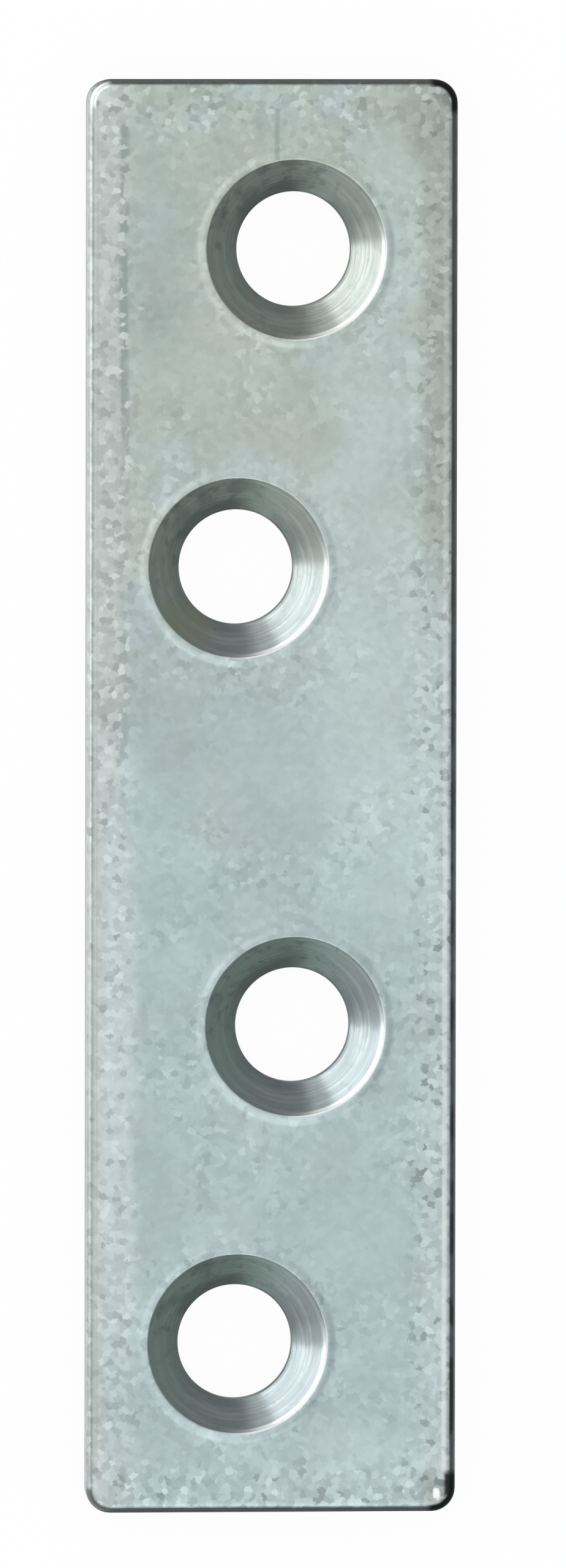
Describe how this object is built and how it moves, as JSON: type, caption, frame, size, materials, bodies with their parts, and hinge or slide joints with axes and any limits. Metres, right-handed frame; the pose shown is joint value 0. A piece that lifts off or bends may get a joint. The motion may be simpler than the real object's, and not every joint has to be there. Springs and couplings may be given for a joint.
{
  "type": "mending plate",
  "caption": "Flat rectangular steel mending plate with rounded corners and staggered countersunk screw holes, for joining pieces of wood edge to edge.",
  "frame": {"origin": "centre of the flat back face, on the surface that the plate lies on", "axes": "+Y along the strip, +X across it, +Z out of the countersunk face"},
  "size_m": [0.0154, 0.06, 0.0021],
  "materials": {
    "zinc_plate": "zinc plated and passivated, semi-matt with faint rolling lines"
  },
  "bodies": {
    "root": {"plate": "zinc_plate"}
  },
  "joints": []
}
